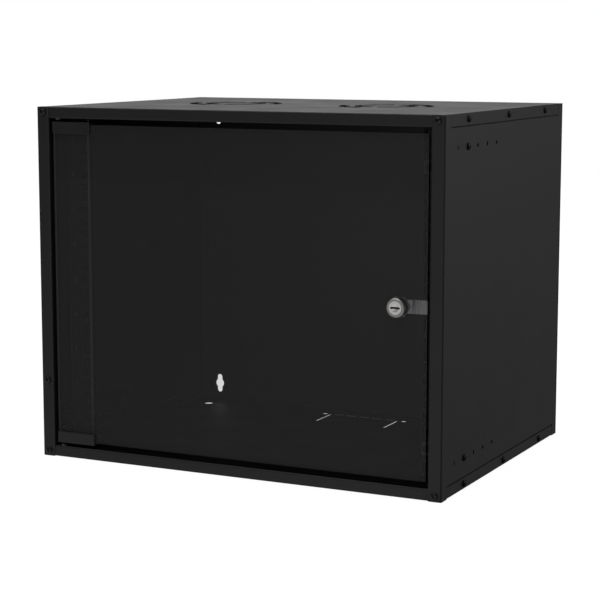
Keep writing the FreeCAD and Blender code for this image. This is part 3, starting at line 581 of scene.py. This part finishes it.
# ---------------------------------------------------------------- sub-assemblies
@dataclass
class Carcass:
    """Folded sheet-steel shell with its screws and studs."""

    panels: tuple[str, ...] = ("roof_panel", "floor_panel", "left_side_panel", "right_side_panel",
                               "rear_panel")
    front_screws: tuple[str, ...] = ("front_corner_screws", "bonding_screw")
    side_screws: tuple[str, ...] = ("roof_flange_screws", "floor_flange_screws")
    sheet: float = 1.2 * MM
    roof_field: tuple[float, float] = (0.2, 0.17)
    knockout_reach: float = 0.06
    faces_door: float = 0.7
    dashes_y: tuple[float, float] = (0.15, 0.18)
    rim_height: float = 0.4 * MM
    rim_root: float = 0.3 * MM
    rim_wall: float = 0.4 * MM
    zinc_plated: tuple[str, ...] = ("rear_panel_studs", "rear_panel_nuts", "bonding_nut",
                                    "carrier_clamp_nuts")

    def build(self) -> None:
        """Dress the panels and their fasteners, and set the cross-head screws."""
        coat = PowderCoat().build()
        # Black plating is thin, so the metal still shines through it in small clear highlights.
        black = Metal("black_zinc_plate", "#1e1e1f", roughness=0.42, line_mm=0.8,
                      depth=0.05).build()
        # Painted highlight: the front screws take a lighter, glossier copy of the black zinc
        # plate, which brightens their heads.
        lighter_plate_for_highlight = Metal("black_zinc_lightened_for_painted_highlight", "#333334", roughness=0.34, line_mm=0.8,
                       depth=0.05).build()
        # Passivated zinc is a dull dark grey with a broad sheen.
        zinc = Metal("dark_passivated_zinc", "#3a3b3c", roughness=0.45).build()
        for names, finish in ((self.panels, coat), (self.zinc_plated, zinc)):
            for name in names:
                dress(name, finish)
        self.outer_bends()
        self.cut_walls()
        self.slot_rims(coat)
        for name in self.front_screws:
            CrossScrew().set_in(name, Vector((0, 1, 0)), lighter_plate_for_highlight, "cabinet")
        for name in self.side_screws:
            CrossScrew().set_in(name, Vector((1, 0, 0)), black, "cabinet")
        CrossScrew(shank_radius=2.45 * MM, shank_length=9.0 * MM).set_in(
            "carrier_clamp_screws", Vector((1, 0, 0)), black, "cabinet")

    def outer_bends(self) -> None:
        """Finish the outer bends of the shell, where the coat pulls thin and dull.

        They draw a fine dark line along the cabinet's corners.
        """
        dull = PowderCoat(name="dull_coat_on_outer_bends", colour="#0f0f10",
                          thin_colour="#121213", roughness=0.6, specular=0.28).build()
        for side, sign in (("left", -1), ("right", 1)):
            dress_some(side + "_side_panel", dull, lambda face: face.normal.y < -BEND_FROM
                       and face.normal.x * sign > BEND_FROM and abs(face.normal.z) < BEND_FROM)
        for level, sign in (("roof", 1), ("floor", -1)):
            dress_some(level + "_panel", dull,
                       lambda face: BEND_FROM < face.normal.z * sign < BEND_TO)

    def in_field(self, place: Vector) -> bool:
        """Tell whether a point lies in the part of the roof that holds the knock-outs."""
        return abs(place.x) < self.roof_field[0] and abs(place.y) < self.roof_field[1]

    def cut_walls(self) -> None:
        """Finish the walls of the knock-outs' slots, and the floor's upper face.

        The roof's slot walls take a near-black coat, which is painted shade. The walls of the
        floor's rear row of slots take a pale grey, which is painted light. The floor's upper face
        takes a darker, duller coat, which is painted shade, so it also mirrors little.
        """
        # Painted shade: the roof's slot walls take a near-black copy of the coat, for the shade
        # inside the slots.
        sharp = PowderCoat(name="coat_darkened_for_shade_in_slots", colour="#040404", thin_colour="#060606",
                           specular=0.1, edge_mm=0.02).build()
        # Painted light: the walls of the floor's rear row of slots take a pale grey, for the light
        # they catch from below.
        thin = Moulded("pale_grey_painted_light_on_floor_slots", "#8a8a8b", roughness=0.6).build()
        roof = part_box("roof_panel")[1].z
        dress_some("roof_panel", sharp, lambda face: abs(face.normal.z) < UPRIGHT_BELOW
                   and roof - self.sheet < face.center.z < roof and self.in_field(face.center))
        # Painted shade: the floor's upper face takes a darker, duller copy of the coat, for the
        # shade inside the cabinet.
        soft = PowderCoat(name="coat_darkened_for_shade_on_floor", colour="#060606", thin_colour="#0a0a0a",
                          roughness=0.54, specular=0.2).build()
        dress_some("floor_panel", soft, lambda face: face.normal.z > FLAT_ABOVE)
        dress_some("floor_panel", thin, lambda face: face.normal.y < -self.faces_door
                   and 0.0 < face.center.z < self.sheet
                   and abs(face.center.x) < self.knockout_reach
                   and self.dashes_y[0] < face.center.y < self.dashes_y[1])

    def slot_rims(self, coat: bpy.types.Material) -> None:
        """Raise the rim that the punch leaves round the roof's slots.

        At a grazing angle this rim shows more than the slot itself.

        Args:
            coat: Finish of the panels.
        """
        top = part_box("roof_panel")[1].z
        sheet = bmesh.new()
        sheet.from_mesh(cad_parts["roof_panel"].data)
        bmesh.ops.remove_doubles(sheet, verts=sheet.verts, dist=WELD)
        form = bmesh.new()
        raised: dict[bmesh.types.BMVert, tuple[bmesh.types.BMVert, bmesh.types.BMVert]] = {}
        for edge in sheet.edges:
            slopes = sorted(abs(face.normal.z) for face in edge.link_faces)
            inside = all(abs(vertex.co.z - top) < WELD and self.in_field(vertex.co)
                         for vertex in edge.verts)
            if not inside or len(slopes) != 2:
                continue
            if slopes[0] > UPRIGHT_BELOW or slopes[1] < FLAT_ABOVE:
                continue
            for vertex in edge.verts:
                if vertex not in raised:
                    foot = vertex.co - Vector((0, 0, self.rim_root))
                    head = vertex.co + Vector((0, 0, self.rim_height))
                    raised[vertex] = (form.verts.new(foot), form.verts.new(head))
            (foot_a, head_a), (foot_b, head_b) = (raised[vertex] for vertex in edge.verts)
            form.faces.new((foot_a, foot_b, head_b, head_a))
        bmesh.ops.recalc_face_normals(form, faces=form.faces)
        mesh = bpy.data.meshes.new("roof_slot_rims")
        form.to_mesh(mesh)
        form.free()
        sheet.free()
        piece = add_object(mesh.name, mesh, coat, "cabinet")
        wall = piece.modifiers.new("wall", "SOLIDIFY")
        wall.thickness = self.rim_wall
        wall.offset = 0.0


@dataclass
class RackRails:
    """Square-hole rails on their carriers, with printed unit numbers."""

    units: int = 9
    unit: float = 44.45 * MM
    print_height: float = 7.0 * MM
    print_depth: float = 0.08 * MM
    print_inset: float = 8.0 * MM
    bend_from: float = 0.2
    sides: dict[str, int] = field(default_factory=lambda: {"left": -1, "right": 1})

    def build(self) -> None:
        """Dress the rails, carriers and screws, and print the unit numbers."""
        # Painted shade: the rails and carriers take a darker, fine-textured copy of the coat,
        # nearly black with hardly a sheen, for the shade inside the cabinet.
        coat = PowderCoat(name="rail_coat_darkened_for_shade", colour="#060606", thin_colour="#090909",
                          specular=0.15, patch_mm=35.0).build()
        zinc = Metal("zinc_plated_screws", "#3a3b3c", roughness=0.45).build()
        # Screen ink lies flat and dry on the coat, so the numbers are an even dull grey.
        ink = Moulded("grey_screen_ink", "#3c3c3b", roughness=0.6).build()
        # Painted highlight: on the left rail's bends a lighter, glossier copy of the coat draws a
        # pale line up the rail.
        bend_highlight_coat = PowderCoat(name="rail_coat_lightened_for_painted_highlight", colour="#1c1c1d",
                          thin_colour="#242425", specular=0.6, patch_mm=35.0).build()
        for side in self.sides:
            dress(side + "_rack_rail", coat)
            for level in ("lower", "upper"):
                dress(f"{side}_{level}_rail_carrier", coat)
        # Painted highlight on the left rail's bends only.
        dress_some("left_rack_rail", bend_highlight_coat, self.is_bend)
        for name in ("rail_screws", "rail_nuts"):
            dress(name, zinc)
        for side, sign in self.sides.items():
            self.numbers(side, sign, ink)

    def is_bend(self, face: bpy.types.MeshPolygon) -> bool:
        """Tell a face of a bend along the rail from a flat one."""
        return self.bend_from < abs(face.normal.x) < BEND_TO and abs(face.normal.z) < BEND_FROM

    def numbers(self, side: str, sign: int, ink: bpy.types.Material) -> None:
        """Print the numbers of the rack units on one rail.

        Args:
            side: Name of the side.
            sign: -1 on the left and +1 on the right.
            ink: Finish of the print.
        """
        low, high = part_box(side + "_rack_rail")
        edge = low[0] if sign < 0 else high[0]
        height = (low[2] + high[2]) / 2 - self.units * self.unit / 2
        for number in range(1, self.units + 1):
            text = bpy.data.curves.new(f"{side}_unit_print_{number}", "FONT")
            text.body = str(number)
            text.size = self.print_height
            text.extrude = self.print_depth / 2
            text.align_x = "CENTER"
            text.align_y = "CENTER"
            piece = add_object(text.name, text, ink, "cabinet")
            piece.location = (edge - sign * self.print_inset, low[1] - self.print_depth / 2,
                              height + (number - 0.5) * self.unit)
            piece.rotation_euler = (math.pi / 2, 0.0, 0.0)


@dataclass
class GlassDoor:
    """Frameless pane with its clips, pins, bushes and bumpers."""

    levels: tuple[str, ...] = ("upper", "lower")
    edge_colour: str = "#050506"
    lit_edge_colour: str = "#4c4c4d"
    edge_band: float = 0.9 * MM

    def build(self) -> None:
        """Dress the pane and its fittings."""
        # Sprayed paint lies smoother than the coat, so the clips have a soft satin sheen.
        paint = PowderCoat(name="satin_black_paint", colour="#0e0e0f", thin_colour="#121213",
                           roughness=0.42, peel_depth=0.02).build()
        # Rubber swallows light: black, with no clear highlight.
        rubber = Moulded("black_epdm_rubber", "#0e0e0e", roughness=0.75).build()
        bumper = Moulded("dull_bumper_rubber", "#040404", roughness=0.9, ior=1.2).build()
        # Blackened steel keeps a faint metallic shine.
        steel = Metal("blackened_steel_pin", "#141415", roughness=0.5).build()
        # Nylon is mid grey, and smooth enough for a soft highlight round the flange.
        nylon = Moulded("grey_nylon", "#4c4c4c", roughness=0.45, ior=1.53).build()
        dress("glass_pane", FloatGlass().build())
        self.ground_edges()
        for level in self.levels:
            dress(level + "_hinge_clip", paint)
            dress(level + "_clip_liner", rubber)
            dress(level + "_clip_grub_screws", steel)
            dress(level + "_pivot_pin", steel)
            dress(level + "_pivot_bush", nylon)
            dress(level + "_door_bumper", bumper)

    def ground_edges(self) -> None:
        """Finish the pane's ground edges: dark where seen from outside, pale at the hinge side.

        Tinted glass is dark along its length. The hinge-side edge is seen through the pane, and
        there its pale colour is a painted highlight, the light that its ground face would catch.
        """
        low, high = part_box("glass_pane")
        dark = Moulded("ground_glass_edge", self.edge_colour, roughness=0.5).build()
        # Painted highlight: the hinge-side edge takes a pale grey for the light its ground face
        # catches.
        lit = Moulded("ground_edge_with_painted_highlight", self.lit_edge_colour, roughness=0.6).build()

        def outer(face: bpy.types.MeshPolygon) -> bool:
            """Tell a face of the lock-side, upper or lower edge."""
            middle = face.center
            return min(high.x - middle.x, high.z - middle.z, middle.z - low.z) < self.edge_band

        dress_some("glass_pane", dark, outer)
        dress_some("glass_pane", lit,
                   lambda face: not outer(face) and face.center.x - low.x < self.edge_band)


@dataclass
class CamLock:
    """Cylinder lock with its cranked cam."""

    dish_depth: float = 1.0 * MM
    slot_depth: float = 8.0 * MM
    slot_reach: float = 6.2 * MM

    def build(self) -> None:
        """Dress the housing, plug, nut, gaskets, cam and screw."""
        low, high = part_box("lock_plug")
        centre = ((low[0] + high[0]) / 2, 0.0, (low[2] + high[2]) / 2)
        # Nickel plate on a turned face: warm silver with a soft fan of light round the axis.
        nickel = Metal("satin_nickel_plate", "#9a9996", roughness=0.42, grain=Grain.TURNED,
                       line_mm=0.35, centre=centre).build()
        core = Metal("turned_nickel_core", "#dbdad7", roughness=0.4, grain=Grain.TURNED,
                     line_mm=0.3, centre=centre).build()
        # Zinc on brushed strip: cool silver, streaked along the strip.
        brushed = Metal("brushed_zinc_steel", "#b2b3b5", roughness=0.36, grain=Grain.UPRIGHT,
                        line_mm=1.6, shade=0.6).build()
        # Blasted zinc scatters light, so the nut is an even matte grey.
        blasted = Metal("blasted_zinc_casting", "#a8a8a8", roughness=0.7).build()
        # The gaskets are thin soft rubber, dull and black.
        rubber = Moulded("lock_gasket_rubber", "#121212", roughness=0.7).build()
        dress("lock_housing", nickel)
        dress("lock_plug", core)
        dress("lock_nut", blasted)
        dress("lock_cam", brushed)
        dress("cam_screw", brushed)
        dress("lock_gaskets", rubber)
        self.keyway(centre)

    def keyway(self, centre: tuple[float, float, float]) -> None:
        """Give the walls of the key slot a near-black finish: no plating reaches them, and the
        rest is painted shade inside the slot.

        Args:
            centre: Point on the lock's axis.
        """
        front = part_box("lock_plug")[0].y

        def in_slot(face: bpy.types.MeshPolygon) -> bool:
            """Tell a face of the key slot."""
            away = math.hypot(face.center.x - centre[0], face.center.z - centre[2])
            return (away < self.slot_reach
                    and self.dish_depth < face.center.y - front < self.slot_depth)

        # Painted shade: the key slot's walls take a near-black colour.
        dark = Moulded("keyway_painted_shade", "#0b0a09", roughness=0.4).build()
        dress_some("lock_plug", dark, in_slot)


# ---------------------------------------------------------------- studio
@dataclass(frozen=True)
class Lamp:
    """One square soft lamp that faces a point, with its side in metres and its power in watts."""

    name: str
    position: tuple[float, float, float]
    size: float
    power: float
    aim: tuple[float, float, float] = (0.0, 0.0, 0.2)

    def build(self) -> None:
        """Hang the lamp."""
        data = bpy.data.lights.new(self.name, "AREA")
        data.shape = "SQUARE"
        data.size = self.size
        data.energy = self.power
        lamp = bpy.data.objects.new(self.name, data)
        bpy.context.scene.collection.objects.link(lamp)
        lamp.location = self.position
        direction = Vector(self.aim) - Vector(self.position)
        lamp.rotation_euler = direction.to_track_quat("-Z", "Y").to_euler()


@dataclass
class Studio:
    """Pale floor, white surround, soft lamps and the camera.

    Angles are degrees, the lens and its sensor millimetres, and a glow of one is white.
    """

    floor_size: float = 8.0
    floor_drop: float = 0.5 * MM
    floor_glow: tuple[float, float] = (0.93, 1.0)
    floor_glow_reach: tuple[float, float] = (0.8, 2.4)
    floor_share: float = 0.2
    table_front: tuple[float, float] = (0.5, 0.69)
    table_width: tuple[float, float] = (-0.8, 0.4)
    table_rear: float = 0.18
    table_axis: tuple[float, float, float] = (0.6, 1.0, 0.0)
    table_blend: tuple[float, float] = (-0.075, -0.025)
    room_strength: float = 0.15
    camera_place: tuple[float, float, float] = (1.0050, -2.0534, 0.5215)
    camera_yaw: float = 26.295
    camera_pitch: float = -8.287
    camera_roll: float = 0.03
    camera_lens: float = 107.85
    camera_sensor: float = 36.0
    camera_reach: float = 50.0
    backdrop_half_angle: float = 22.0
    backdrop_blend: float = 8.0
    lamps: tuple[Lamp, ...] = (
        Lamp("overhead_lamp", (-0.4, -0.3, 2.4), size=2.2, power=38.5),
        Lamp("front_lamp", (0.3, -2.7, 0.15), size=0.8, power=6.5),
        Lamp("right_lamp", (2.2, 1.2, 1.1), size=1.4, power=20.0))

    def build(self) -> None:
        """Set up the whole studio."""
        self.floor()
        self.world()
        for lamp in self.lamps:
            lamp.build()
        self.camera()
        bpy.context.scene.view_settings.view_transform = "Standard"

    def floor(self) -> None:
        """Lay the floor: white to the eye, with the cabinet's shadow, and a light table to gloss.

        The table glows more before the door than behind it, and there more to the right, so the
        front's lower right part is lifted.
        """
        mesh = bpy.data.meshes.new("floor")
        grid = bmesh.new()
        bmesh.ops.create_grid(grid, x_segments=1, y_segments=1, size=self.floor_size / 2)
        grid.to_mesh(mesh)
        grid.free()
        floor = bpy.data.objects.new("floor", mesh)
        bpy.context.scene.collection.objects.link(floor)
        floor.location = (0.0, 0.0, -self.floor_drop)
        material, tree = new_tree("matte_studio_board")
        path = add_node(tree, "ShaderNodeLightPath")
        seen = add_node(tree, "ShaderNodeMath", {"operation": "MAXIMUM"},
                        {0: path.outputs["Is Camera Ray"],
                         1: path.outputs["Is Transmission Ray"]})
        place = add_node(tree, "ShaderNodeTexCoord")
        along = add_node(tree, "ShaderNodeVectorMath",
                         {"operation": "DOT_PRODUCT", 1: self.table_axis},
                         {0: place.outputs["Object"]})
        axes = add_node(tree, "ShaderNodeSeparateXYZ", {}, {"Vector": place.outputs["Object"]})
        front = add_node(tree, "ShaderNodeMapRange",
                         {"From Min": self.table_width[0], "From Max": self.table_width[1],
                          "To Min": self.table_front[0], "To Max": self.table_front[1]},
                         {"Value": axes.outputs["X"]})
        light = add_node(tree, "ShaderNodeMapRange",
                         {"From Min": self.table_blend[0], "From Max": self.table_blend[1],
                          "To Max": self.table_rear},
                         {"Value": along.outputs["Value"], "To Min": front.outputs["Result"]})
        board = add_node(tree, "ShaderNodeEmission", {}, {"Strength": light.outputs["Result"]})
        away = add_node(tree, "ShaderNodeVectorMath", {"operation": "LENGTH"},
                        {0: place.outputs["Object"]})
        rising = add_node(tree, "ShaderNodeMapRange",
                          {"From Min": self.floor_glow_reach[0],
                           "From Max": self.floor_glow_reach[1],
                           "To Min": self.floor_glow[0], "To Max": self.floor_glow[1]},
                          {"Value": away.outputs["Value"]})
        glow = add_node(tree, "ShaderNodeEmission", {}, {"Strength": rising.outputs["Result"]})
        share = add_node(tree, "ShaderNodeBsdfDiffuse",
                         {"Color": (self.floor_share, self.floor_share, self.floor_share, 1.0)})
        white = add_node(tree, "ShaderNodeAddShader", {},
                         {0: glow.outputs["Emission"], 1: share.outputs["BSDF"]})
        mix = add_node(tree, "ShaderNodeMixShader", {},
                       {0: seen.outputs["Value"], 1: board.outputs["Emission"],
                        2: white.outputs["Shader"]})
        add_node(tree, "ShaderNodeOutputMaterial", {}, {"Surface": mix.outputs["Shader"]})
        mesh.materials.append(material)

    def world(self) -> None:
        """White surround for the eye, a white backdrop behind for gloss, and a dim room."""
        world = bpy.data.worlds.new("studio")
        bpy.context.scene.world = world
        world.use_nodes = True
        tree = world.node_tree
        tree.nodes.clear()
        path = add_node(tree, "ShaderNodeLightPath")
        glossy = add_node(tree, "ShaderNodeMath", {"operation": "MAXIMUM"},
                          {0: path.outputs["Is Glossy Ray"],
                           1: path.outputs["Is Transmission Ray"]})
        yaw = math.radians(self.camera_yaw)
        ahead = (-math.sin(yaw), math.cos(yaw), 0.0)
        place = add_node(tree, "ShaderNodeTexCoord")
        towards = add_node(tree, "ShaderNodeVectorMath", {"operation": "DOT_PRODUCT", 1: ahead},
                           {0: place.outputs["Generated"]})
        backdrop = add_node(tree, "ShaderNodeMapRange",
                            {"From Min": math.cos(math.radians(self.backdrop_half_angle
                                                               + self.backdrop_blend)),
                             "From Max": math.cos(math.radians(self.backdrop_half_angle))},
                            {"Value": towards.outputs["Value"]})
        reflected = add_node(tree, "ShaderNodeMath", {"operation": "MULTIPLY"},
                             {0: glossy.outputs["Value"], 1: backdrop.outputs["Result"]})
        seen = add_node(tree, "ShaderNodeMath", {"operation": "MAXIMUM"},
                        {0: path.outputs["Is Camera Ray"], 1: reflected.outputs["Value"]})
        room, white = (add_node(tree, "ShaderNodeBackground",
                                {"Strength": strength, "Color": (1.0, 1.0, 1.0, 1.0)})
                       for strength in (self.room_strength, 1.0))
        mix = add_node(tree, "ShaderNodeMixShader", {},
                       {0: seen.outputs["Value"], 1: room.outputs["Background"],
                        2: white.outputs["Background"]})
        add_node(tree, "ShaderNodeOutputWorld", {}, {"Surface": mix.outputs["Shader"]})

    def camera(self) -> None:
        """Place the camera."""
        data = bpy.data.cameras.new("camera")
        data.lens = self.camera_lens
        data.sensor_width = self.camera_sensor
        data.clip_end = self.camera_reach
        camera = bpy.data.objects.new("camera", data)
        bpy.context.scene.collection.objects.link(camera)
        turn = (Matrix.Rotation(math.radians(self.camera_yaw), 4, "Z")
                @ Matrix.Rotation(math.radians(90 + self.camera_pitch), 4, "X")
                @ Matrix.Rotation(math.radians(self.camera_roll), 4, "Z"))
        camera.matrix_world = Matrix.Translation(self.camera_place) @ turn
        bpy.context.scene.camera = camera


def main() -> None:
    """Build the studio and every sub-assembly."""
    for part in (Studio(), Carcass(), RackRails(), GlassDoor(), CamLock()):
        LOG.info("building %s", type(part).__name__)
        part.build()


if __name__ == "__main__":
    main()
